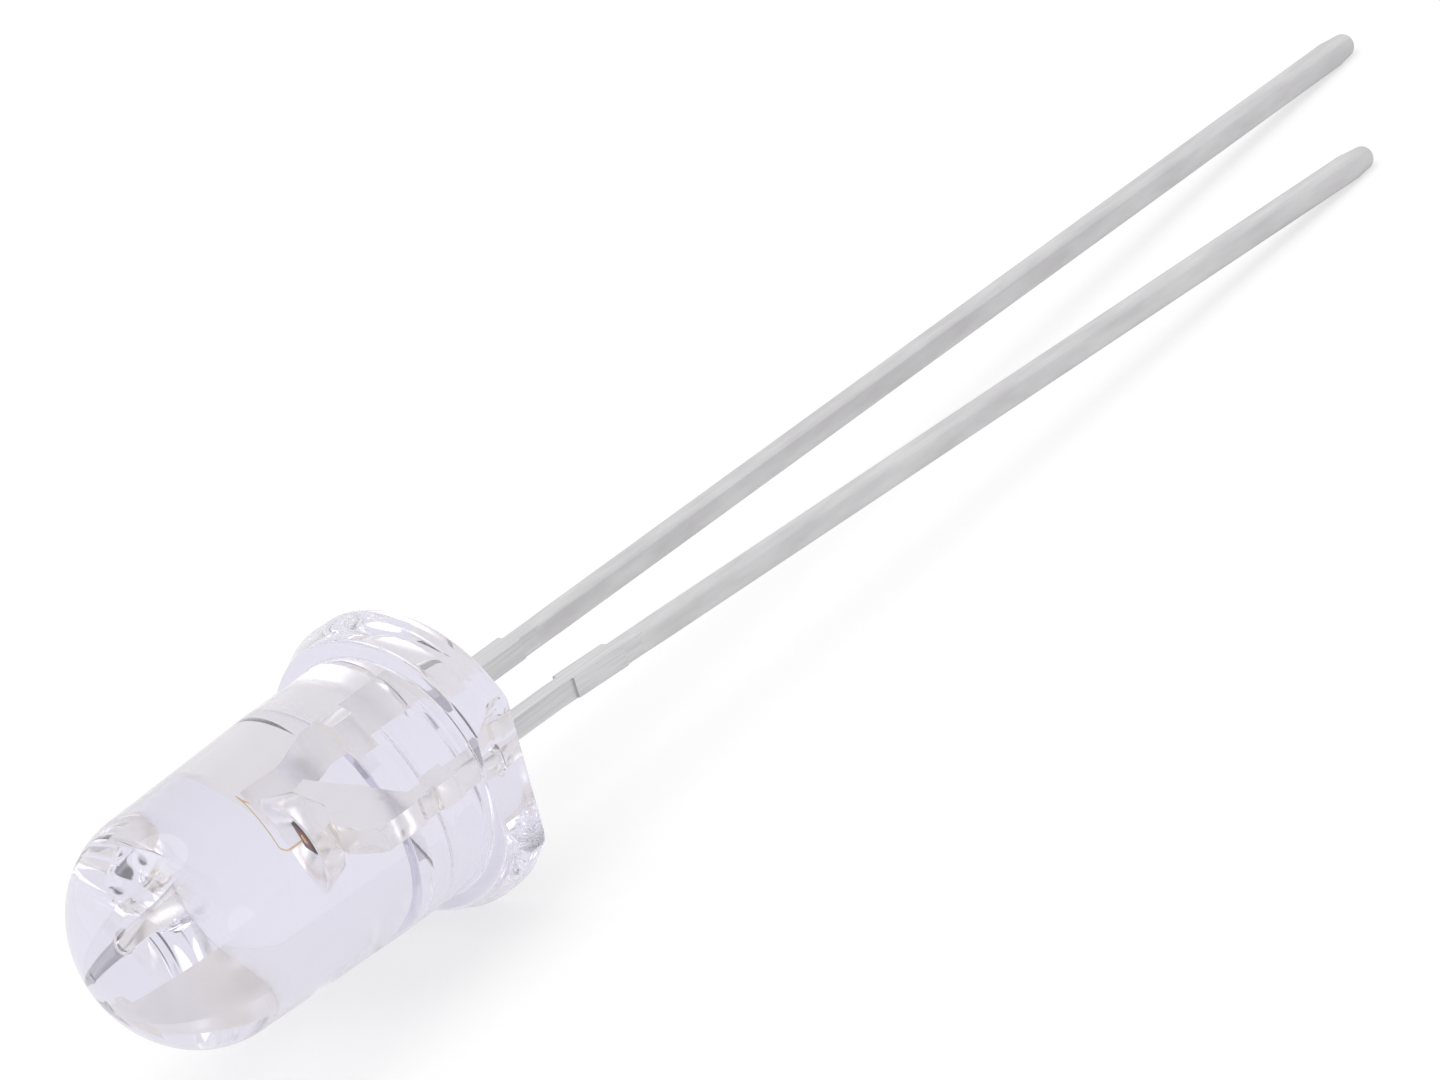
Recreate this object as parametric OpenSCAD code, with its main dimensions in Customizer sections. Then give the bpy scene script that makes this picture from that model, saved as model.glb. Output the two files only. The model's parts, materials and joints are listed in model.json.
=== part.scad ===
// Clear 5 mm light-emitting diode with two wire leads, lying at rest on its flange and lead tips.
// The diode's own axes: +X from the flange to the dome, +Y from the anode to the cathode, +Z the
// normal of the lead frame's sheet. The origin is the centre of the flange's rear face.

/* [Lens] */
// Length from the flange's rear face to the top of the dome
lens_len = 8.8; // [8:0.05:10]
// Diameter of the straight barrel beside the flange
barrel_d = 4.9; // [4.8:0.02:5.04]
// Length of the straight barrel in front of the flange
barrel_len = 1.9; // [1:0.1:3]
// Diameter at the foot of the dome, where the mould's draft ends
dome_d = 4.7; // [4.5:0.02:4.8]
// Height of the dome above its foot, a little under its half diameter
dome_h = 2.03; // [1.9:0.01:2.3]

/* [Flange] */
// Largest diameter of the flange
flange_d = 5.94; // [5.6:0.02:6.4]
// Thickness of the flange
flange_t = 1; // [0.8:0.05:1.2]
// Height of the flange's straight rim, in front of which it narrows
rim_h = 0.45; // [0.3:0.05:0.6]
// How much the flange narrows towards its front face, on the radius
rim_taper = 0.18; // [0.05:0.01:0.25]
// Radius of the rounded rear edge of the rim
rear_round = 0.12; // [0.05:0.01:0.2]
// Radius of the rounded front edge of the rim
front_round = 0.12; // [0.05:0.01:0.2]
// Distance from the axis to the flat that marks the cathode
flat_dist = 2.53; // [2.53:0.01:2.8]
// Angle by which the flat is turned from square to the lead frame
flat_turn = -4; // [-5:1:5]

/* [Leads] */
// Distance between the two leads where they leave the flange
lead_pitch = 2.54; // [2.2:0.02:2.8]
// Width of a lead in the plane of the sheet
lead_w = 0.4; // [0.35:0.01:0.5]
// Thickness of the sheet that the lead frame is stamped from
sheet_t = 0.4; // [0.35:0.01:0.5]
// Length of the anode lead behind the flange
anode_len = 29.1; // [20:0.1:30]
// Length of the cathode lead behind the flange
cathode_len = 25.3; // [18:0.1:29]
// Angle by which the cathode lead spreads away from the anode lead
cathode_splay = 2.5; // [0:0.5:5]
// Distance from the flange to the point where the cathode lead bends away
bend_from = 2.3; // [2.1:0.1:2.6]
// Distance from the flange to the stubs of the cut dam bar
stub_from = 2.7; // [2.7:0.05:3]
// Length of a stub along the lead
stub_len = 1.35; // [0.8:0.05:1.4]
// How far a stub stands out of the lead's side
stub_out = 0.13; // [0.1:0.01:0.3]
// Distance from the flange to where the solder coat begins
tin_from = 4.5; // [4.5:0.1:8]
// Thickness of the solder coat
tin_t = 0.024; // [0.01:0.002:0.03]
// Radius of the solder coat's rounded edges
tin_round = 0.08; // [0.05:0.01:0.1]
// Radius of the rounded lead tips
tip_round = 0.16; // [0.1:0.01:0.16]

/* [Lead frame inside the lens] */
// Height above the flange's rear face of the anchor lugs
lug_from = 1.15; // [1:0.05:1.4]
// Length of the anchor lugs along the lead
lug_len = 0.6; // [0.4:0.05:0.7]
// How far the anchor lugs stand out of the lead's sides
lug_out = 0.16; // [0.1:0.01:0.25]
// Height at which the cathode starts to widen into the anvil
anvil_from = 2.15; // [2.1:0.05:2.3]
// Height of the anvil's top edge, on which the cup stands
anvil_top = 3.8; // [3.7:0.05:4.2]
// How far the anvil stands out of the cathode's outer side
anvil_out = 0.16; // [0:0.01:0.3]
// Height of the slope from the anvil's outer corner up to the cup
shoulder_drop = 0.45; // [0.3:0.05:0.6]
// Width of the slanted gap between the anvil and the anode post
frame_gap = 0.34; // [0.28:0.01:0.4]
// Height of the short first slope on the anvil's inner side
gap_step = 0.15; // [0.1:0.05:0.3]
// Height at which the gap has crossed to the post's side
gap_rise = 1.05; // [0.8:0.05:1.3]
// Width of the anode post's head
post_w = 0.55; // [0.45:0.01:0.6]
// How far the post's top, where the wire is stitched, lies below the cup's rim
post_drop = 0.1; // [0.02:0.02:0.14]

/* [Reflector cup] */
// Height of the cup from the anvil to its rim
cup_h = 0.6; // [0.5:0.02:0.7]
// Height of the neck that flares from the sheet to the cup's foot
cup_neck = 0.34; // [0.2:0.02:0.4]
// Outer diameter of the cup at its rim
cup_rim_d = 1.2; // [1.1:0.02:1.24]
// Outer diameter of the cup at its foot
cup_foot_d = 0.96; // [0.8:0.02:1.04]
// Width of the flat land around the cup's mouth
cup_land = 0.08; // [0.06:0.01:0.12]
// Depth of the cup
cup_depth = 0.42; // [0.4:0.02:0.46]
// Diameter of the cup's flat floor
cup_floor_d = 0.56; // [0.5:0.02:0.64]

/* [Die and wire] */
// Width of the square die
die_w = 0.32; // [0.24:0.01:0.34]
// Height of the die
die_h = 0.24; // [0.15:0.01:0.25]
// Thickness of the silver paste under the die
paste_t = 0.02; // [0.01:0.005:0.04]
// Diameter of the paste's puddle on the cup's floor
paste_d = 0.5; // [0.46:0.01:0.5]
// Height of the paste's fillet on the die's sides
paste_rise = 0.06; // [0.04:0.01:0.09]
// Diameter of the gold wire
wire_d = 0.026; // [0.02:0.002:0.04]
// Diameter of the ball bond on the die
ball_d = 0.1; // [0.08:0.01:0.12]
// Height of the ball bond
ball_h = 0.03; // [0.02:0.005:0.04]
// Height of the wire's straight rise above the ball
wire_rise = 0.35; // [0.32:0.01:0.4]
// Radius of the wire's bend at the top of the loop
wire_bend = 0.14; // [0.1:0.01:0.16]
// Distance of the stitch from the post's inner edge
stitch_in = 0.16; // [0.1:0.01:0.2]
// Diameter of the flattened stitch on the post
stitch_d = 0.09; // [0.06:0.01:0.12]
// Thickness of the flattened stitch
stitch_t = 0.01; // [0.008:0.002:0.02]

/* [Hidden] */
$fn = 96;
reach = 1; // how far cutting shapes run past what they cut
bite = 0.1; // how far a joined length of one solid runs into the next
knuckle_out = 0.0008; // how far the beads that join the wire's lengths stand out of it
barrel_r = barrel_d / 2;
dome_r = dome_d / 2;
flange_r = flange_d / 2;
dome_foot = lens_len - dome_h;
taper_from = flange_t + barrel_len;
lead_y = lead_pitch / 2;
rim_front_r = flange_r - rim_taper;

// Tips lie on the surface that carries the flange: the whole diode leans by rest_pitch
tin_half = sheet_t / 2 + tin_t;
lean_run = anode_len - tip_round + rear_round;
lean_drop = flange_r - rear_round - tin_half + tip_round;
rest_pitch = atan2(lean_drop, lean_run)
    + asin((rear_round - tip_round) / norm([lean_run, lean_drop]));
floor_drop = (flange_r - rear_round) * cos(rest_pitch) + rear_round - rear_round * sin(rest_pitch);
// The shorter cathode lead bends down a little more, so that its tip rests there too
short_run = (cathode_len - bend_from - tip_round) * cos(cathode_splay);
short_half = tin_half - tip_round;
short_drop = floor_drop - tip_round - bend_from * sin(rest_pitch);
cathode_dip = asin(short_drop / norm([short_run, short_half]))
    - atan2(short_half, short_run) - rest_pitch;

// Corners of the anvil and the post, as [height, distance from the axis]
cup_base_r = cup_foot_d / 2;
cup_rim_r = cup_rim_d / 2;
mouth_r = cup_rim_r - cup_land;
cup_top = anvil_top + cup_h;
cup_floor = cup_top - cup_depth;
paste_r = paste_d / 2;
die_base = cup_floor + paste_t;
die_top = die_base + die_h;
anvil_side = lead_y + lead_w / 2 + anvil_out;
anvil_corner = anvil_top - shoulder_drop;
post_top = cup_top - post_drop;
post_side = -lead_y - lead_w / 2;
post_inner = post_side + post_w;
anvil_inner = post_inner + frame_gap;
gap_low = anvil_from + gap_step;
gap_high = anvil_from + gap_rise;

// The wire rises from the ball, turns over and falls straight to the post
stitch_y = post_inner - stitch_in;
knuckle_r = wire_d / 2 + knuckle_out;
wire_top = die_top + ball_h + wire_rise;
fall_run = -stitch_y - wire_bend;
fall_drop = wire_top - post_top;
wire_turn = 90 + atan2(fall_drop, fall_run)
    + asin(wire_bend / norm([fall_run, fall_drop]));
fall_start = [wire_top + wire_bend * sin(wire_turn), -wire_bend + wire_bend * cos(wire_turn)];
fall_len = norm([fall_start.x - post_top, fall_start.y - stitch_y]);
fall_tail = wire_d / sin(wire_turn - 90);

module at_rest() {
    rotate([0, -rest_pitch, 0])
        children();
}

// Turns a profile of [radius, height] about the diode's axis
module turned() {
    rotate([0, 90, 0])
        rotate_extrude()
            children();
}

// Gives an outline of [height, distance from the axis] the sheet's thickness
module stamped(t = sheet_t) {
    translate([0, 0, -t / 2])
        linear_extrude(t)
            children();
}

module round_edge(r, centre) {
    translate(centre)
        circle(r);
}

module flange_profile() {
    square([flange_r - rear_round, rim_h]);
    translate([0, rear_round])
        square([flange_r, rim_h - rear_round]);
    round_edge(rear_round, [flange_r - rear_round, rear_round]);
    polygon([
        [0, rim_h - bite],
        [flange_r, rim_h - bite],
        [flange_r, rim_h],
        [rim_front_r, flange_t - front_round],
        [rim_front_r - front_round, flange_t],
        [0, flange_t]
    ]);
    intersection() {
        round_edge(front_round, [rim_front_r - front_round, flange_t - front_round]);
        square([flange_r, flange_t]);
    }
}

module barrel_profile() {
    polygon([
        [0, flange_t - bite],
        [barrel_r, flange_t - bite],
        [barrel_r, taper_from],
        [dome_r, dome_foot],
        [0, dome_foot]
    ]);
}

// The dome is half of a slightly flattened ball
module dome_profile() {
    translate([0, dome_foot])
        intersection() {
            scale([1, dome_h / dome_r])
                circle(dome_r);
            square([dome_r, dome_h]);
        }
}

module epoxy() {
    difference() {
        turned() {
            flange_profile();
            barrel_profile();
            dome_profile();
        }
        rotate([flat_turn, 0, 0])
            translate([-reach, flat_dist, -flange_d])
                cube([flange_t + reach, flange_d, 2 * flange_d]);
    }
}

// The length of a lead behind its bend, counted from the flange: bare, then coated to its tip
module outer_lead(len) {
    stamped() {
        translate([-tin_from - bite, -lead_w / 2])
            square([tin_from - bend_from + 2 * bite, lead_w]);
        translate([-stub_from - stub_len, -lead_w / 2 - stub_out])
            square([stub_len, lead_w + 2 * stub_out]);
    }
    intersection() {
        coat_section(len);
        coat_side(len, lead_w / 2 + tin_t);
        rotate([90, 0, 0])
            coat_side(len, tin_half);
    }
}

module coat_section(len) {
    half_w = lead_w / 2 + tin_t;
    rotate([0, -90, 0])
        linear_extrude(len)
            union() {
                square([2 * tin_half - 2 * tin_round, 2 * half_w], center = true);
                square([2 * tin_half, 2 * half_w - 2 * tin_round], center = true);
                for (side_z = [-1, 1], side_y = [-1, 1])
                    round_edge(tin_round, [side_z * (tin_half - tin_round), side_y * (half_w - tin_round)]);
            }
}

module coat_side(len, half) {
    linear_extrude(4 * tin_half, center = true) {
        translate([-len + tip_round, -half])
            square([len - tin_from - tip_round, 2 * half]);
        translate([-len, -half + tip_round])
            square([len - tin_from, 2 * half - 2 * tip_round]);
        for (side = [-1, 1])
            round_edge(tip_round, [-len + tip_round, side * (half - tip_round)]);
    }
}

// The straight stretch of a lead from its bend up to a height in the lens, with its anchor lugs
module inner_lead(top) {
    stamped() {
        translate([-bend_from, -lead_w / 2])
            square([bend_from + top, lead_w]);
        translate([lug_from, -lead_w / 2 - lug_out])
            square([lug_len, lead_w + 2 * lug_out]);
    }
}

module cathode_metal() {
    translate([0, lead_y, 0]) {
        inner_lead(anvil_from + bite);
        translate([-bend_from, 0, 0])
            rotate([0, -cathode_dip, 0])
                rotate([0, 0, -cathode_splay])
                    translate([bend_from, 0, 0])
                        outer_lead(cathode_len);
    }
    stamped()
        polygon([
            [anvil_from, lead_y + lead_w / 2],
            [anvil_from + anvil_out, anvil_side],
            [anvil_corner, anvil_side],
            [anvil_top, cup_base_r],
            [anvil_top, -cup_base_r],
            [gap_high, anvil_inner],
            [gap_low, lead_y - lead_w / 2 - frame_gap],
            [anvil_from, lead_y - lead_w / 2]
        ]);
    translate([anvil_top - cup_neck, 0, 0])
        rotate([0, 90, 0])
            cylinder(h = cup_neck, r1 = sheet_t / 2, r2 = cup_base_r);
    difference() {
        translate([anvil_top, 0, 0])
            rotate([0, 90, 0])
                cylinder(h = cup_h, r1 = cup_base_r, r2 = cup_rim_r);
        cup_mouth();
    }
}

module cup_mouth() {
    slope = (mouth_r - cup_floor_d / 2) / cup_depth;
    translate([cup_floor, 0, 0])
        rotate([0, 90, 0])
            cylinder(h = cup_depth + reach, r1 = cup_floor_d / 2, r2 = mouth_r + slope * reach);
}

module anode_metal() {
    translate([0, -lead_y, 0]) {
        inner_lead(anvil_from + bite);
        outer_lead(anode_len);
    }
    stamped()
        polygon([
            [anvil_from, post_side],
            [post_top, post_side],
            [post_top, post_inner],
            [gap_high, post_inner],
            [anvil_from, post_side + lead_w]
        ]);
}

module chip() {
    translate([die_base, -die_w / 2, -die_w / 2])
        cube([die_h, die_w, die_w]);
}

module paste() {
    difference() {
        translate([cup_floor, 0, 0])
            rotate([0, 90, 0])
                cylinder(h = paste_t + paste_rise, r1 = paste_r, r2 = paste_r - paste_rise);
        chip();
    }
}

module gold_wire() {
    translate([die_top, 0, 0])
        rotate([0, 90, 0])
            cylinder(h = ball_h, r = ball_d / 2);
    translate([die_top + ball_h, 0, 0])
        rotate([0, 90, 0])
            cylinder(h = wire_rise, r = wire_d / 2);
    translate([wire_top, -wire_bend, 0])
        rotate([0, 0, 90 - wire_turn])
            rotate_extrude(angle = wire_turn)
                translate([wire_bend, 0])
                    circle(wire_d / 2);
    for (knuckle = [[wire_top, 0, 0], [fall_start.x, fall_start.y, 0]])
        translate(knuckle)
            sphere(knuckle_r);
    difference() {
        translate([fall_start.x, fall_start.y, 0])
            rotate([0, 0, -wire_turn])
                rotate([0, 90, 0])
                    cylinder(h = fall_len + fall_tail, r = wire_d / 2);
        translate([post_top - reach, post_side - reach, -reach])
            cube([reach, reach + post_w, 2 * reach]);
    }
    translate([post_top, stitch_y, 0])
        rotate([0, 90, 0])
            cylinder(h = stitch_t, r = stitch_d / 2);
}

module lens() {
    color([0.9, 0.89, 0.95, 0.35])
        at_rest()
            difference() {
                epoxy();
                cathode_metal();
                anode_metal();
                chip();
                paste();
                gold_wire();
            }
}

module cathode_lead() {
    color("silver")
        at_rest()
            cathode_metal();
}

module anode_lead() {
    color("silver")
        at_rest()
            anode_metal();
}

module die() {
    color("orangered")
        at_rest()
            chip();
}

module die_attach() {
    color("lightgray")
        at_rest()
            paste();
}

module bond_wire() {
    color("gold")
        at_rest()
            gold_wire();
}

lens();
cathode_lead();
anode_lead();
die();
die_attach();
bond_wire();
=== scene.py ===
import json
import math

import bmesh
import bpy
from mathutils import Matrix, Vector


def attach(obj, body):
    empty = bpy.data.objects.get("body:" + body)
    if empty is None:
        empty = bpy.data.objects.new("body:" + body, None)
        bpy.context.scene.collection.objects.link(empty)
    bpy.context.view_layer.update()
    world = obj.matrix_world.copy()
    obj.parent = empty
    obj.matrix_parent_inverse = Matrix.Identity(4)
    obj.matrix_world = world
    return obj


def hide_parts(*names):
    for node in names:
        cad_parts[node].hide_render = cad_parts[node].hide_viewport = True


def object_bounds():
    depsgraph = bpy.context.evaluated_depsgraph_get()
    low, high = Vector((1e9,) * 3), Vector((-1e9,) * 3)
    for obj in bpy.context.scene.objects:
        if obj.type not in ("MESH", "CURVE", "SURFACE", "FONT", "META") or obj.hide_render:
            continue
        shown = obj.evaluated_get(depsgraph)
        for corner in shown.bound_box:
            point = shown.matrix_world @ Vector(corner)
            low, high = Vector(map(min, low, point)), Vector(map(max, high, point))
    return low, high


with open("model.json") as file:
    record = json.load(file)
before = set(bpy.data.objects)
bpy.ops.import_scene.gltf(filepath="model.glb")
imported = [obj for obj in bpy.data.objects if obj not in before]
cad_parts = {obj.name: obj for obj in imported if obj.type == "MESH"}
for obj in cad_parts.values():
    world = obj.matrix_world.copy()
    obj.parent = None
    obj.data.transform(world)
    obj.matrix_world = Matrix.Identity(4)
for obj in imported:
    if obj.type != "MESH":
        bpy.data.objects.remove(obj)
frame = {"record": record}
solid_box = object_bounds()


# Camera, light and floor
# The diode lies on a white table, on the edge of its flange and on both lead tips. A long lens
# looks at it from the dome's side and is turned, so that the leads run to the upper right.
mounts = {mount["name"]: mount for mount in frame["record"]["mounts"]}
dome_way = Vector(mounts["barrel"]["axis"]).normalized()
cathode_way = Vector((0, 1, 0))
sheet_way = dome_way.cross(cathode_way)

camera_lift = math.radians(39.26)
camera_side = math.radians(63.11)
axis_turn = math.radians(-0.34)
picture_turn = math.radians(36.4)
camera_distance = 0.55
film_width = 36
picture_width = 0.026287
middle_along = 0.006649
middle_across = 0.0000905

across = cathode_way * math.cos(camera_side) - sheet_way * math.sin(camera_side)
aside = cathode_way * math.sin(camera_side) + sheet_way * math.cos(camera_side)
to_camera = dome_way * math.sin(camera_lift) + aside * math.cos(camera_lift)
leads_shown = -dome_way * math.cos(camera_lift) + aside * math.sin(camera_lift)
along_line = leads_shown * math.cos(axis_turn) + across * math.sin(axis_turn)
cross_line = across * math.cos(axis_turn) - leads_shown * math.sin(axis_turn)
picture_right = along_line * math.cos(picture_turn) + cross_line * math.sin(picture_turn)
picture_up = along_line * math.sin(picture_turn) - cross_line * math.cos(picture_turn)
picture_middle = along_line * middle_along + cross_line * middle_across

bpy.ops.object.camera_add()
camera = bpy.context.object
camera.name = "camera"
camera.matrix_world = Matrix.Translation(picture_middle + to_camera * camera_distance) @ Matrix(
    (picture_right, picture_up, to_camera)
).transposed().to_4x4()
camera.data.sensor_width = film_width
camera.data.lens = film_width * camera_distance / picture_width
camera.data.clip_start = 0.01
camera.data.clip_end = 20
bpy.context.scene.camera = camera
bpy.context.scene.view_settings.view_transform = "Standard"

# Light is turned back many times inside the clear lens before it comes out
cycles = bpy.context.scene.cycles
cycles.max_bounces = 96
cycles.glossy_bounces = 90
cycles.transmission_bounces = 48


def work_out(tree, how, first, second):
    """Adds a node that works out a number from two, each a value or another node's socket."""
    step = tree.nodes.new("ShaderNodeMath")
    step.operation = how
    for socket, given in zip(step.inputs, (first, second)):
        if isinstance(given, bpy.types.NodeSocket):
            tree.links.new(given, socket)
        else:
            socket.default_value = given
    return step.outputs[0]


# The world is a white light tent, which the camera, mirrors and glass see at full white
studio = bpy.data.worlds.new("white_studio")
bpy.context.scene.world = studio
studio.use_nodes = True
tree = studio.node_tree
ray = tree.nodes.new("ShaderNodeLightPath").outputs
shown = work_out(tree, "MAXIMUM", ray["Is Camera Ray"], ray["Is Glossy Ray"])
shown = work_out(tree, "MAXIMUM", shown, ray["Is Transmission Ray"])
tent_lit = 0.75
white = work_out(tree, "ADD", work_out(tree, "MULTIPLY", shown, 1 - tent_lit), tent_lit)

# The tent has a small dark opening around the camera that only mirrors and glass see. It draws
# the clear edges
opening_edge = math.radians(9)
opening_core = math.radians(5)
opening_depth = 0.75
looking = tree.nodes.new("ShaderNodeTexCoord")
facing = tree.nodes.new("ShaderNodeVectorMath")
facing.operation = "DOT_PRODUCT"
facing.inputs[1].default_value = to_camera
tree.links.new(looking.outputs["Generated"], facing.inputs[0])
opening = tree.nodes.new("ShaderNodeMapRange")
opening.inputs["From Min"].default_value = math.cos(opening_edge)
opening.inputs["From Max"].default_value = math.cos(opening_core)
opening.inputs["To Max"].default_value = opening_depth
tree.links.new(facing.outputs["Value"], opening.inputs["Value"])
not_direct = work_out(tree, "SUBTRACT", 1.0, ray["Is Camera Ray"])
missing = work_out(tree, "MULTIPLY", opening.outputs["Result"], not_direct)
backdrop = tree.nodes["Background"]
backdrop.inputs["Color"].default_value = (1, 1, 1, 1)
tree.links.new(work_out(tree, "SUBTRACT", white, missing), backdrop.inputs["Strength"])

# Four round soft boxes, hardly brighter than the tent, stand beyond the leads, to the right and
# before the dome. The last one lights the far wall of the cup.
above = Vector((0, 0, 1))
for name, place, width, watts in (
    ("key_box", picture_up * 0.5 - picture_right * 0.3 + to_camera * 0.25, 0.56, 0.9),
    ("fill_box", picture_right * 0.6 - picture_up * 0.1 + to_camera * 0.6, 0.56, 0.6),
    ("dome_box", dome_way * 0.5 + aside * 0.2 + above * 0.15, 0.26, 0.1),
    ("cup_box", dome_way * 0.47 + aside * 0.13 + above * 0.27, 0.26, 0.13),
):
    bpy.ops.object.light_add(type="AREA", location=place)
    box = bpy.context.object
    box.name = name
    box.data.shape = "DISK"
    box.data.size = width
    box.data.energy = watts
    box.rotation_mode = "QUATERNION"
    box.rotation_quaternion = place.to_track_quat("Z", "Y")

# The table is pale card; lit to white for the camera, it still keeps the diode's soft shadow
table_size = 6
table_height = solid_box[0].z
paper_grey = 0.5
paper_lift = 0.56
mirrored_lift = 0.42
bpy.ops.mesh.primitive_plane_add(size=table_size, location=(0, 0, table_height))
table = bpy.context.object
table.name = "table"
bpy.ops.object.transform_apply(location=True, rotation=True, scale=True)
card = bpy.data.materials.new("white_card")
card.use_nodes = True
tree = card.node_tree
paper = tree.nodes["Principled BSDF"]
paper.inputs["Base Color"].default_value = (paper_grey, paper_grey, paper_grey, 1)
paper.inputs["Roughness"].default_value = 0.9
paper.inputs["Specular IOR Level"].default_value = 0
ray = tree.nodes.new("ShaderNodeLightPath").outputs
shown = work_out(tree, "MAXIMUM", ray["Is Camera Ray"], ray["Is Transmission Ray"])
glow = tree.nodes.new("ShaderNodeEmission")
lift = work_out(tree, "MULTIPLY", shown, paper_lift)
in_mirror = work_out(tree, "MULTIPLY", ray["Is Glossy Ray"], mirrored_lift)
tree.links.new(work_out(tree, "MAXIMUM", lift, in_mirror), glow.inputs["Strength"])
lit_paper = tree.nodes.new("ShaderNodeAddShader")
tree.links.new(paper.outputs[0], lit_paper.inputs[0])
tree.links.new(glow.outputs[0], lit_paper.inputs[1])
tree.links.new(lit_paper.outputs[0], tree.nodes["Material Output"].inputs["Surface"])
table.data.materials.append(card)


# Lens
# The body is one casting of clear epoxy, poured into a polished mould with the lead frame hung in
# it. It has a flange with a flat for the cathode, a slightly tapered barrel and a domed end.
# The side that was open in the mould is the flange's rear: it sinks a little and climbs the leads.
barrel_r = mounts["barrel"]["dims"]["r_mm"]
barrel_end = 2.9
flange_r = 2.97
flange_t = 1.0
rim_h = 0.45
rim_front_r = 2.79
edge_r = 0.12
foot_r = 0.07
dome_r = 2.35
dome_h = 2.03
dome_foot = 6.77
sunk = 0.05
flat_at = 2.53
flat_turn = math.radians(-4)
lead_y = 1.27
rear_r = 0.2
climb_r = 0.46
climb_h = 0.13
climb_top_r = 0.2
climb_sunk = 0.03
climb_lap = 0.01
crisp_from = math.radians(32)


def add(shape, name, **facts):
    """Adds a primitive, in millimetres on the diode's own axes, with nothing else selected."""
    if bpy.context.object and bpy.context.object.mode == "EDIT":
        bpy.ops.object.mode_set(mode="OBJECT")
    bpy.ops.object.select_all(action="DESELECT")
    getattr(bpy.ops.mesh, "primitive_" + shape + "_add")(**facts)
    piece = bpy.context.object
    piece.name = name
    bpy.ops.object.transform_apply(location=True, rotation=True, scale=True)
    return piece


def middle(part):
    """The mean place of a face's or edge's corners."""
    return sum((vert.co for vert in part.verts), Vector()) / len(part.verts)


def pick(kind, test):
    """Selects, in edit mode, the faces or edges of the active piece that pass the test."""
    bpy.ops.mesh.select_mode(type={"faces": "FACE", "edges": "EDGE"}[kind])
    bpy.ops.mesh.select_all(action="DESELECT")
    data = bpy.context.object.data
    mesh = bmesh.from_edit_mesh(data)
    mesh.normal_update()
    for part in getattr(mesh, kind):
        if test(part):
            part.select_set(True)
    mesh.select_flush_mode()
    bmesh.update_edit_mesh(data)


def pull(rings, y=0.0):
    """Extrudes the selected round face forwards through rings of [height, radius]."""
    for (low, old_r), (high, new_r) in zip(rings, rings[1:]):
        bpy.ops.mesh.extrude_region_move(TRANSFORM_OT_translate={"value": (high - low, 0, 0)})
        scale = new_r / old_r
        bpy.ops.transform.resize(value=(1, scale, scale), center_override=(high, y, 0))


def arc(centre, across_r, along_r, start, end, steps):
    """Points of [height, radius] on an arc; 0 degrees points outwards and 90 to the dome."""
    turns = [math.radians(start + (end - start) * step / steps) for step in range(steps + 1)]
    return [
        (centre[0] + along_r * math.sin(turn), centre[1] + across_r * math.cos(turn))
        for turn in turns
    ]


def take_up(piece):
    """Leaves edit mode and makes this the only piece that is selected."""
    if bpy.context.object.mode == "EDIT":
        bpy.ops.object.mode_set(mode="OBJECT")
    bpy.ops.object.select_all(action="DESELECT")
    piece.select_set(True)
    bpy.context.view_layer.objects.active = piece


def lay_down(piece):
    """Leans a piece that was made on the diode's own axes as the diode lies, in metres."""
    take_up(piece)
    lean = Matrix((dome_way, cathode_way, sheet_way)).transposed().to_4x4()
    piece.matrix_world = lean @ Matrix.Scale(0.001, 4)
    bpy.ops.object.transform_apply(location=True, rotation=True, scale=True)


def weld(piece, other):
    """Joins another piece to this one without a seam, and deletes the other one."""
    take_up(piece)
    seam = piece.modifiers.new("weld", "BOOLEAN")
    seam.operation = "UNION"
    seam.solver = "EXACT"
    seam.material_mode = "TRANSFER"
    seam.object = other
    bpy.ops.object.modifier_apply(modifier="weld")
    bpy.data.objects.remove(other)


epoxy = bpy.data.materials.new("clear_cast_epoxy")
epoxy.use_nodes = True
nodes, links = epoxy.node_tree.nodes, epoxy.node_tree.links
resin = nodes["Principled BSDF"]
resin.inputs["Base Color"].default_value = (0.745, 0.73, 0.828, 1)
resin.inputs["Transmission Weight"].default_value = 1
resin.inputs["IOR"].default_value = 1.53
resin.inputs["Metallic"].default_value = 0
place = nodes.new("ShaderNodeTexCoord")
ripple = nodes.new("ShaderNodeTexNoise")
ripple.inputs["Scale"].default_value = 420
ripple.inputs["Detail"].default_value = 2
links.new(place.outputs["Object"], ripple.inputs["Vector"])
haze = nodes.new("ShaderNodeMapRange")
haze.inputs["From Min"].default_value = 0.45
haze.inputs["From Max"].default_value = 0.75
haze.inputs["To Min"].default_value = 0.0
haze.inputs["To Max"].default_value = 0.02
links.new(ripple.outputs["Fac"], haze.inputs["Value"])
links.new(haze.outputs["Result"], resin.inputs["Roughness"])
wave = nodes.new("ShaderNodeBump")
wave.inputs["Strength"].default_value = 0.25
wave.inputs["Distance"].default_value = 0.00002
links.new(ripple.outputs["Fac"], wave.inputs["Height"])
links.new(wave.outputs["Normal"], resin.inputs["Normal"])
rear = [(sunk, rear_r), (sunk, 0.8), (sunk, 1.4), (sunk, 1.9), (sunk * 0.8, 2.15)]
rear += [(sunk * 0.4, 2.35), (sunk * 0.1, 2.5), (0, 2.62), (0, flange_r - edge_r - 0.02)]
rim = arc((edge_r, flange_r - edge_r), edge_r, edge_r, -90, 0, 8)
rim += [(edge_r + 0.03, flange_r), (rim_h - 0.02, flange_r), (rim_h, flange_r)]
front = arc((flange_t - edge_r, rim_front_r - edge_r), edge_r, edge_r, 0, 90, 8)
foot = arc((flange_t + foot_r, barrel_r + foot_r), -foot_r, foot_r, -90, 0, 6)
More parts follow.
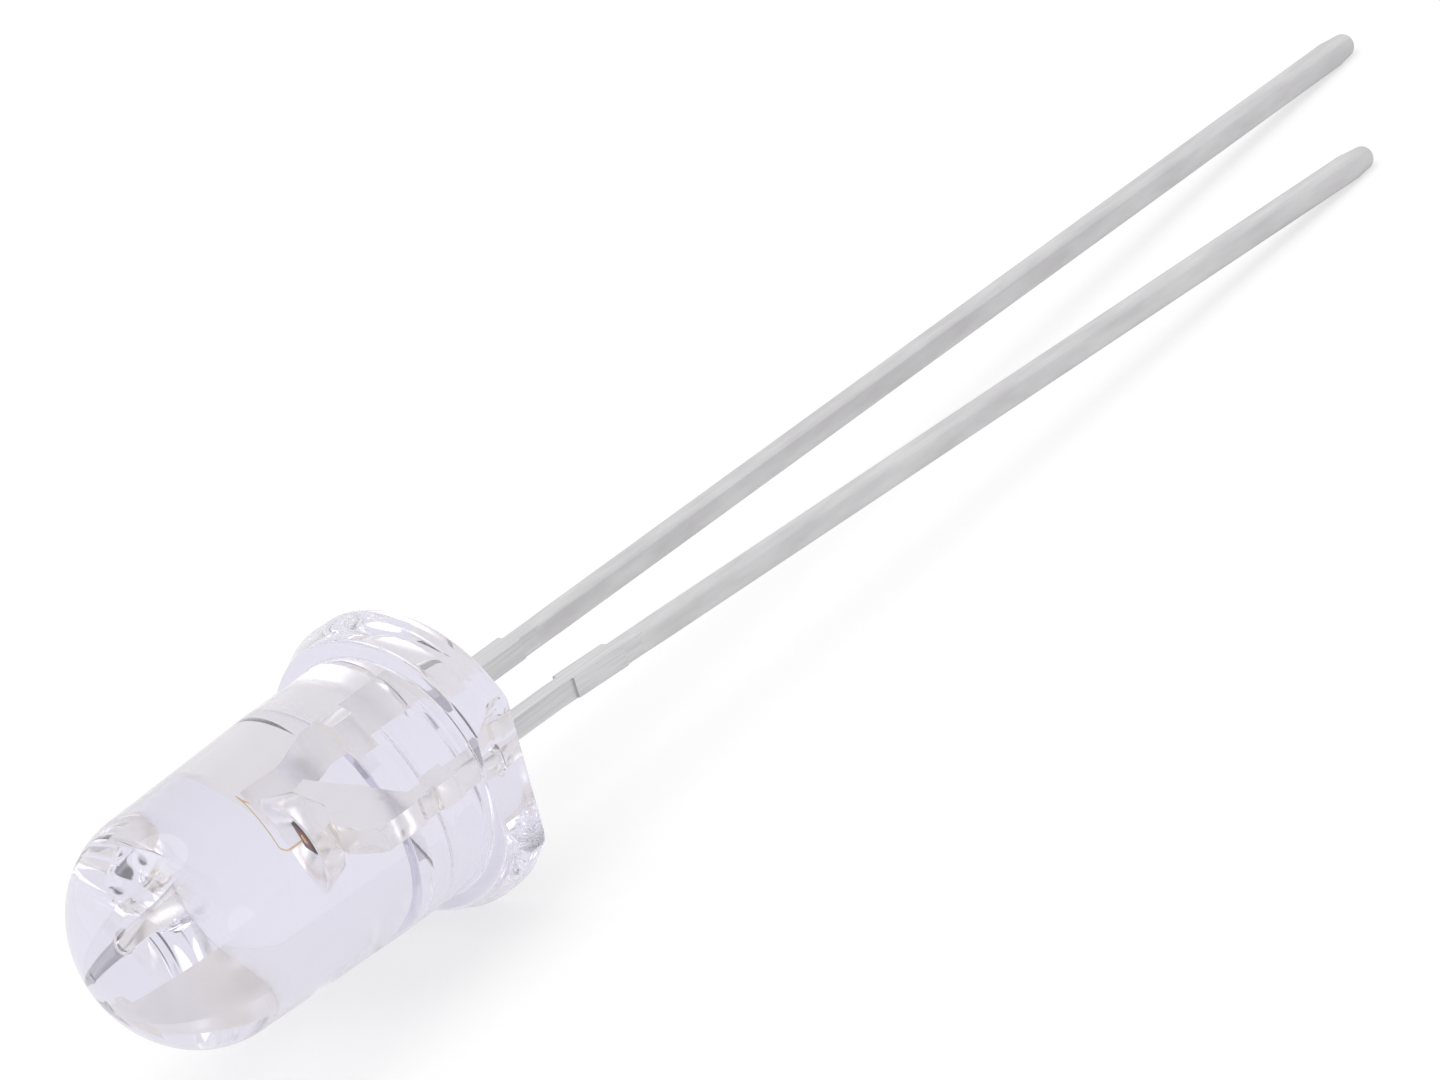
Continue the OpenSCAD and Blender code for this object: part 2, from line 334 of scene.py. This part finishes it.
barrel = [(flange_t + foot_r + 0.04, barrel_r), (barrel_end, barrel_r), (dome_foot - 0.06, dome_r)]
dome = arc((dome_foot, 0), dome_r, dome_h, 0, 89.5, 72)
profile = rear + rim + front + foot + barrel + dome

lens = add(
    "circle", "cast_lens", vertices=320, radius=rear_r, fill_type="NGON",
    location=(sunk, 0, 0), rotation=(0, math.pi / 2, 0),
)
bpy.ops.object.mode_set(mode="EDIT")
bpy.ops.mesh.select_all(action="SELECT")
pull(profile)
bpy.ops.mesh.merge(type="CENTER")
bpy.ops.mesh.select_all(action="SELECT")
bpy.ops.mesh.bisect(
    plane_co=(0, flat_at * math.cos(flat_turn), flat_at * math.sin(flat_turn)),
    plane_no=(0, math.cos(flat_turn), math.sin(flat_turn)),
    clear_outer=True, use_fill=True,
)
bpy.ops.mesh.select_all(action="SELECT")
bpy.ops.mesh.remove_doubles(threshold=0.001)
bpy.ops.mesh.normals_make_consistent(inside=False)
bpy.ops.object.mode_set(mode="OBJECT")
lens.data.materials.append(epoxy)

# The epoxy climbs each lead where it leaves the flange
for side in (-1, 1):
    collar = add(
        "circle", "climb", vertices=64, radius=climb_r, fill_type="NGON",
        location=(sunk + climb_sunk, side * lead_y, 0), rotation=(0, -math.pi / 2, 0),
    )
    bpy.ops.object.mode_set(mode="EDIT")
    bpy.ops.mesh.select_all(action="SELECT")
    slope_h = climb_h + sunk + climb_lap
    slope = arc((-climb_h, climb_r), climb_top_r - climb_r, slope_h, 90, 0, 8)
    pull([(sunk + climb_sunk, climb_r)] + slope, side * lead_y)
    bpy.ops.mesh.select_all(action="SELECT")
    bpy.ops.mesh.normals_make_consistent(inside=False)
    bpy.ops.object.mode_set(mode="OBJECT")
    collar.data.materials.append(epoxy)
    weld(lens, collar)
bpy.ops.object.shade_smooth_by_angle(angle=crisp_from)

lay_down(lens)
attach(lens, "root")
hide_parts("lens")


# Cathode lead
# Stamped with its twin from one strip of silvered steel. In the lens it widens into the anvil,
# whose top is coined into the reflector cup that holds the die. Behind the flange the strip's dam
# bar has been cut to stubs, nearly flush on one side. Below them the lead was dipped in solder.
metal_w = 0.4
lug_from = 1.15
lug_len = 0.6
lug_out = 0.16
anvil_from = 2.15
anvil_top = 3.8
anvil_corner = 3.35
anvil_side = 1.63
cup_top = 4.4
cup_floor = 3.98
cup_rim_r = 0.6
cup_foot_r = 0.48
cup_mouth_r = 0.52
cup_floor_r = 0.28
cup_edge = 0.03
cup_lip = 0.02
anvil_lap = 0.03
neck_from = 3.46
gap_low = 2.3
gap_high = 3.2
gap_w = 0.34
post_inner = -0.92
bend_from = 2.3
stub_from = 2.7
stub_len = 1.35
stub_out = 0.13
stub_flush = 0.045
tin_from = 4.5
tin_full_from = 5.1
tin_swell = 0.15
tin_skin_r = 0.196
tin_swell_r = 0.218
tin_half = 0.224
tin_round = 0.08
tin_mean_r = 0.25
tip_turn = 0.36
tip_round = 0.22
cathode_len = 25.3
cathode_splay = math.radians(2.5)
cathode_dip = math.radians(0.908)
stamp_edge = 0.025
sheet_at = 3.5
sheet_size = 6


# Grain of the metals, from 0 to 1: long and thin it is drawn or rolled, otherwise it is mottled
grain = bpy.data.node_groups.new("metal_grain", "ShaderNodeTree")
for socket, way, kind in (
    ("Along", "INPUT", "NodeSocketFloat"), ("Size", "INPUT", "NodeSocketFloat"),
    ("Mask", "OUTPUT", "NodeSocketFloat"),
):
    grain.interface.new_socket(socket, in_out=way, socket_type=kind)
nodes, links = grain.nodes, grain.links
given = nodes.new("NodeGroupInput")
put_out = nodes.new("NodeGroupOutput")
place = nodes.new("ShaderNodeTexCoord")
cell = nodes.new("ShaderNodeCombineXYZ")
links.new(given.outputs["Along"], cell.inputs["X"])
links.new(given.outputs["Size"], cell.inputs["Y"])
links.new(given.outputs["Size"], cell.inputs["Z"])
leaning = nodes.new("ShaderNodeMapping")
leaning.vector_type = "TEXTURE"
leaning.inputs["Rotation"].default_value = (0, -math.atan2(dome_way.z, dome_way.x), 0)
links.new(place.outputs["Object"], leaning.inputs["Vector"])
links.new(cell.outputs["Vector"], leaning.inputs["Scale"])
speckle = nodes.new("ShaderNodeTexNoise")
speckle.inputs["Scale"].default_value = 1
speckle.inputs["Detail"].default_value = 2
links.new(leaning.outputs["Vector"], speckle.inputs["Vector"])
spread = nodes.new("ShaderNodeMapRange")
spread.inputs["From Min"].default_value = 0.3
spread.inputs["From Max"].default_value = 0.7
links.new(speckle.outputs["Fac"], spread.inputs["Value"])
links.new(spread.outputs["Result"], put_out.inputs["Mask"])


def metal(name, dark, light, rough, along, size, relief):
    """A metal whose colour, roughness and relief follow the grain, in metres."""
    made = bpy.data.materials.new(name)
    made.use_nodes = True
    nodes, links = made.node_tree.nodes, made.node_tree.links
    skin = nodes["Principled BSDF"]
    skin.inputs["Metallic"].default_value = 1
    worn = nodes.new("ShaderNodeGroup")
    worn.node_tree = grain
    worn.inputs["Along"].default_value = along
    worn.inputs["Size"].default_value = size
    colour = nodes.new("ShaderNodeMix")
    colour.data_type = "RGBA"
    colour.inputs["A"].default_value = (*dark, 1)
    colour.inputs["B"].default_value = (*light, 1)
    links.new(worn.outputs["Mask"], colour.inputs["Factor"])
    links.new(colour.outputs["Result"], skin.inputs["Base Color"])
    dull = nodes.new("ShaderNodeMapRange")
    dull.inputs["To Min"].default_value = rough[1]
    dull.inputs["To Max"].default_value = rough[0]
    links.new(worn.outputs["Mask"], dull.inputs["Value"])
    links.new(dull.outputs["Result"], skin.inputs["Roughness"])
    bumps = nodes.new("ShaderNodeBump")
    bumps.inputs["Strength"].default_value = 0.5
    bumps.inputs["Distance"].default_value = relief
    links.new(worn.outputs["Mask"], bumps.inputs["Height"])
    links.new(bumps.outputs["Normal"], skin.inputs["Normal"])
    return made


steel = metal(
    "rolled_steel", (0.6, 0.592, 0.605), (0.7, 0.692, 0.705), (0.28, 0.42),
    0.003, 0.00005, 0.000003,
)
solder = metal(
    "dipped_solder", (0.6, 0.59, 0.6), (0.69, 0.682, 0.692), (0.3, 0.46),
    0.0014, 0.0003, 0.00002,
)
plating = metal(
    "silver_plating", (0.975, 0.955, 0.9), (0.985, 0.968, 0.92), (0.17, 0.2),
    0.0012, 0.0002, 0.0000002,
)
polished = metal(
    "polished_cup", (0.97, 0.96, 0.94), (0.99, 0.985, 0.97), (0.16, 0.22),
    0.0002, 0.0002, 0.0000004,
)


def strip(name, y):
    """A lead from the lens's inside to where the solder hides it, with its lugs and stubs."""
    lead = add("cube", name, size=metal_w, location=(anvil_from, y, 0))
    bpy.ops.object.mode_set(mode="EDIT")
    steps = [anvil_from - metal_w / 2, lug_from + lug_len, lug_from, 0, -bend_from, -stub_from]
    steps += [-stub_from - stub_len, -tin_from - metal_w]
    pick("faces", lambda face: face.normal.x < -0.9)
    for here, there in zip(steps, steps[1:]):
        bpy.ops.mesh.extrude_region_move(TRANSFORM_OT_translate={"value": (there - here, 0, 0)})
    for low, high, out in (
        (lug_from, lug_from + lug_len, lug_out),
        (lug_from, lug_from + lug_len, -lug_out),
        (-stub_from - stub_len, -stub_from, stub_flush),
        (-stub_from - stub_len, -stub_from, -stub_out),
    ):
        pick("faces", lambda face: (
            low < middle(face).x < high and face.normal.y * math.copysign(1, out) > 0.9
        ))
        bpy.ops.mesh.extrude_region_move(TRANSFORM_OT_translate={"value": (0, out, 0)})
    lead.data.materials.append(steel)
    lead.data.materials.append(plating)
    pick("faces", lambda face: middle(face).x > 0)
    lead.active_material_index = 1
    bpy.ops.object.material_slot_assign()
    return lead


def blank(name, outline):
    """A sheet of the strip's thickness, trimmed side by side to an outline of [height, y]."""
    sheet = add(
        "cube", name, size=1, location=(sheet_at, 0, 0), scale=(sheet_size, sheet_size, metal_w)
    )
    bpy.ops.object.mode_set(mode="EDIT")
    inside = sum((Vector(corner) for corner in outline), Vector((0, 0))) / len(outline)
    for start, end in zip(outline, outline[1:] + outline[:1]):
        run = Vector(end) - Vector(start)
        out = Vector((run.y, -run.x))
        if out.dot(Vector(start) - inside) < 0:
            out = -out
        bpy.ops.mesh.select_all(action="SELECT")
        bpy.ops.mesh.bisect(
            plane_co=(start[0], start[1], 0), plane_no=(out.x, out.y, 0),
            clear_outer=True, use_fill=True,
        )
    sheet.data.materials.append(plating)
    return sheet


def dipped(name, y, length):
    """The solder coat of a lead: a soft square that starts as a thin skin and ends rounded."""
    coat = add(
        "plane", name, size=2 * tin_half, location=(-tin_from, y, 0), rotation=(0, -math.pi / 2, 0)
    )
    bpy.ops.object.mode_set(mode="EDIT")
    bpy.ops.mesh.select_all(action="SELECT")
    bpy.ops.mesh.bevel(offset=tin_round, segments=6, affect="VERTICES")
    pick("edges", lambda edge: edge.calc_length() > tin_round)
    bpy.ops.mesh.subdivide(number_cuts=6)
    bpy.ops.mesh.select_mode(type="FACE")
    bpy.ops.mesh.select_all(action="SELECT")
    thin = tin_skin_r / tin_half
    bpy.ops.transform.resize(value=(1, thin, thin), center_override=(-tin_from, y, 0))
    tip_from = -length + tip_round
    pull([
        (-tin_from, tin_skin_r), (-tin_from - tin_swell, tin_swell_r),
        (-tin_full_from, tin_half), (tip_from + tip_turn, tin_half),
    ], y)
    # Towards its end the square turns round
    tip = [
        (tip_from + tip_turn * part, tin_half + (tin_mean_r - tin_half) * part)
        for part in (1, 0.75, 0.5, 0.25)
    ]
    tip += arc((tip_from, 0), tin_half, -tip_round, 0, 84, 10)
    for here, there in zip(tip, tip[1:]):
        pull([here, there], y)
        bpy.ops.transform.tosphere(value=0.3)
    coat.data.materials.append(solder)
    return coat


def take_off_burr(lead, below):
    """Softens how a lead's stamped edges look below a height, by a bevel of next to no width."""
    bpy.ops.object.mode_set(mode="EDIT")
    pick("edges", lambda edge: (
        middle(edge).x < below and math.degrees(edge.calc_face_angle()) > 50
    ))
    bpy.ops.mesh.bevel(offset=stamp_edge, segments=2, affect="EDGES", clamp_overlap=True)
    bpy.ops.object.mode_set(mode="OBJECT")


def put_on(piece, *others):
    """Adds other pieces to this one as they are, such as the solder coat to its lead."""
    take_up(piece)
    for other in others:
        other.select_set(True)
    bpy.ops.object.join()


cathode = strip("cathode_strip", lead_y)
anvil = blank("anvil", [
    (anvil_from, lead_y + metal_w / 2), (anvil_from + lug_out, anvil_side),
    (anvil_corner, anvil_side), (anvil_top - anvil_lap, cup_foot_r),
    (anvil_top - anvil_lap, -cup_foot_r),
    (gap_high, post_inner + gap_w), (gap_low, lead_y - metal_w / 2 - gap_w),
    (anvil_from, lead_y - metal_w / 2),
])
weld(cathode, anvil)

cup = add(
    "circle", "cup", vertices=96, radius=metal_w / 2, fill_type="NGON",
    location=(neck_from, 0, 0), rotation=(0, math.pi / 2, 0),
)
bpy.ops.object.mode_set(mode="EDIT")
bpy.ops.mesh.select_all(action="SELECT")
pull([
    (neck_from, metal_w / 2), (anvil_top, cup_foot_r), (cup_top - cup_edge, cup_rim_r - 0.005),
    (cup_top, cup_rim_r - cup_edge), (cup_top, cup_mouth_r + cup_lip),
    (cup_top - cup_lip, cup_mouth_r), (cup_floor + cup_lip, cup_floor_r + 0.01),
    (cup_floor, cup_floor_r - cup_lip),
])
bpy.ops.mesh.select_all(action="SELECT")
bpy.ops.mesh.normals_make_consistent(inside=False)
bpy.ops.object.mode_set(mode="OBJECT")
cup.data.materials.append(plating)
cup.data.materials.append(polished)
bpy.ops.object.mode_set(mode="EDIT")
pick("faces", lambda face: face.normal.x > 0.3)
cup.active_material_index = 1
bpy.ops.object.material_slot_assign()
weld(cathode, cup)
take_off_burr(cathode, anvil_top - 0.1)
put_on(cathode, dipped("cathode_coat", lead_y, cathode_len))

# Just above the stubs the lead is bent away from its twin and down to the table
bpy.ops.object.mode_set(mode="EDIT")
bend_at = (-bend_from, lead_y, 0)
pick("faces", lambda face: all(vert.co.x < -bend_from + 0.01 for vert in face.verts))
bpy.ops.transform.rotate(value=cathode_splay, orient_axis="Z", center_override=bend_at)
bpy.ops.transform.rotate(value=cathode_dip, orient_axis="Y", center_override=bend_at)
bpy.ops.object.mode_set(mode="OBJECT")
bpy.ops.object.shade_smooth_by_angle(angle=crisp_from)

lay_down(cathode)
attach(cathode, "root")
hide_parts("cathode_lead")


# Anode lead
# The longer twin from the same strip. It ends in the lens as a plain post, across a slanted gap
# from the anvil, and the gold wire is stitched to the post's top.
anode_len = 29.1
post_side = -lead_y - metal_w / 2
post_top = 4.3
anode = strip("anode_strip", -lead_y)
post = blank("post", [
    (anvil_from, post_side), (post_top, post_side), (post_top, post_inner),
    (gap_high, post_inner), (anvil_from, post_side + metal_w),
])
weld(anode, post)
take_off_burr(anode, post_top + 0.1)
put_on(anode, dipped("anode_coat", -lead_y, anode_len))
bpy.ops.object.shade_smooth_by_angle(angle=crisp_from)
lay_down(anode)
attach(anode, "root")
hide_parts("anode_lead")


# Die
# A cube of dark crystal, sawn from a wafer. Around the round gold pad that takes the wire, the
# middle of its top is coloured red as a painted reddish glint; the rest of the crystal is dark.
die_w = 0.32
die_h = 0.24
die_base = cup_floor + 0.02
die_top = die_base + die_h
die_edge = 0.006
pad_r = 0.06
pad_t = 0.003
die = add(
    "cube", "red_die", size=1, location=((die_base + die_top) / 2, 0, 0),
    scale=(die_h, die_w, die_w),
)
bpy.ops.object.mode_set(mode="EDIT")
bpy.ops.mesh.select_all(action="SELECT")
bpy.ops.mesh.bevel(offset=die_edge, segments=2, affect="EDGES")
bpy.ops.object.mode_set(mode="OBJECT")
bpy.ops.object.shade_smooth_by_angle(angle=crisp_from)
crystal = bpy.data.materials.new("red_crystal")
crystal.use_nodes = True
nodes, links = crystal.node_tree.nodes, crystal.node_tree.links
stone = nodes["Principled BSDF"]
stone.inputs["Roughness"].default_value = 0.3
stone.inputs["Specular IOR Level"].default_value = 0.5
place = nodes.new("ShaderNodeTexCoord")
from_axis = nodes.new("ShaderNodeMapping")
from_axis.vector_type = "TEXTURE"
from_axis.inputs["Location"].default_value = dome_way * die_top * 0.001
links.new(place.outputs["Object"], from_axis.inputs["Vector"])
distance = nodes.new("ShaderNodeVectorMath")
distance.operation = "LENGTH"
links.new(from_axis.outputs["Vector"], distance.inputs[0])
# Painted reddish glint: red near the middle of the die's top, fading to the dark crystal further
# out
painted_glint_share = nodes.new("ShaderNodeMapRange")
painted_glint_share.inputs["From Min"].default_value = 0.00018
painted_glint_share.inputs["From Max"].default_value = 0.0001
links.new(distance.outputs["Value"], painted_glint_share.inputs["Value"])
crystal_with_painted_glint = nodes.new("ShaderNodeMix")
crystal_with_painted_glint.data_type = "RGBA"
crystal_with_painted_glint.inputs["A"].default_value = (0.045, 0.04, 0.042, 1)
crystal_with_painted_glint.inputs["B"].default_value = (0.3, 0.075, 0.055, 1)
links.new(painted_glint_share.outputs["Result"], crystal_with_painted_glint.inputs["Factor"])
links.new(crystal_with_painted_glint.outputs["Result"], stone.inputs["Base Color"])
die.data.materials.append(crystal)
pad = add(
    "cylinder", "pad", vertices=32, radius=pad_r, depth=2 * pad_t,
    location=(die_top, 0, 0), rotation=(0, math.pi / 2, 0),
)
gold = metal(
    "drawn_gold", (0.78, 0.6, 0.36), (0.88, 0.7, 0.45), (0.2, 0.32), 0.0004, 0.00001, 0.0000005
)
pad.data.materials.append(gold)
put_on(die, pad)
lay_down(die)
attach(die, "root")
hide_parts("die")


# Silver paste
# A drop of silver-filled glue on the cup's floor. The die was pressed into it, so that it stands
# up around the die as a low fillet, and it has been baked hard.
paste_r = 0.25
round_crisp_from = math.radians(50)
paste = add(
    "circle", "silver_paste", vertices=48, radius=paste_r, fill_type="NGON",
    location=(cup_floor, 0, 0), rotation=(0, math.pi / 2, 0),
)
bpy.ops.object.mode_set(mode="EDIT")
bpy.ops.mesh.select_all(action="SELECT")
pull([
    (cup_floor, paste_r), (cup_floor + 0.006, paste_r - 0.004),
    (cup_floor + 0.018, paste_r - 0.022), (cup_floor + 0.04, paste_r - 0.045),
    (cup_floor + 0.07, paste_r - 0.06),
])
bpy.ops.mesh.select_all(action="SELECT")
bpy.ops.mesh.normals_make_consistent(inside=False)
bpy.ops.object.mode_set(mode="OBJECT")
bpy.ops.object.shade_smooth_by_angle(angle=round_crisp_from)
glue = metal(
    "silver_glue", (0.5, 0.49, 0.48), (0.68, 0.67, 0.66), (0.45, 0.7), 0.00002, 0.00002, 0.000004
)
paste.data.materials.append(glue)
lay_down(paste)
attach(paste, "root")
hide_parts("die_attach")


# Gold wire
# Drawn gold, thinner than a hair. Its melted end is pressed onto the die's pad as a ball, it rises
# and turns over in a loop, and its other end is squeezed flat onto the post as a stitch.
wire_r = 0.013
ball_r = 0.05
ball_h = 0.03
stitch_r = 0.045
wire_rise = 0.35
wire_bend = 0.14
stitch_y = post_inner - 0.16
wire_top = die_top + ball_h + wire_rise
fall_run = -stitch_y - wire_bend
fall_drop = wire_top - post_top
wire_turn = math.pi / 2 + math.atan2(fall_drop, fall_run)
wire_turn += math.asin(wire_bend / math.hypot(fall_run, fall_drop))
fall_start = Vector((
    wire_top + wire_bend * math.sin(wire_turn), -wire_bend * (1 - math.cos(wire_turn))
))
fall_way = Vector((math.cos(wire_turn), -math.sin(wire_turn)))
fall_len = (fall_start - Vector((post_top + wire_r, stitch_y))).length
wire = add(
    "circle", "gold_wire", vertices=16, radius=wire_r, fill_type="NGON",
    location=(die_top + ball_h / 2, 0, 0), rotation=(0, math.pi / 2, 0),
)
bpy.ops.object.mode_set(mode="EDIT")
bpy.ops.mesh.select_all(action="SELECT")
bpy.ops.mesh.extrude_region_move(
    TRANSFORM_OT_translate={"value": (wire_rise + ball_h / 2, 0, 0)}
)
turn_steps = 18
for step in range(turn_steps):
    bpy.ops.mesh.extrude_region_move(TRANSFORM_OT_translate={"value": (0, 0, 0)})
    bpy.ops.transform.rotate(
        value=wire_turn / turn_steps, orient_axis="Z", center_override=(wire_top, -wire_bend, 0)
    )
bpy.ops.mesh.extrude_region_move(
    TRANSFORM_OT_translate={"value": (fall_way.x * fall_len, fall_way.y * fall_len, 0)}
)
bpy.ops.object.mode_set(mode="OBJECT")
ball = add(
    "uv_sphere", "ball", segments=24, ring_count=12, radius=ball_r,
    location=(die_top + ball_h / 2, 0, 0), scale=(0.36, 1, 1),
)
stitch = add(
    "uv_sphere", "stitch", segments=24, ring_count=12, radius=stitch_r,
    location=(post_top + 0.004, stitch_y, 0), scale=(0.3, 1, 0.8),
)
put_on(wire, ball, stitch)
bpy.ops.object.shade_smooth_by_angle(angle=round_crisp_from)
wire.data.materials.append(gold)
lay_down(wire)
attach(wire, "root")
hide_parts("bond_wire")
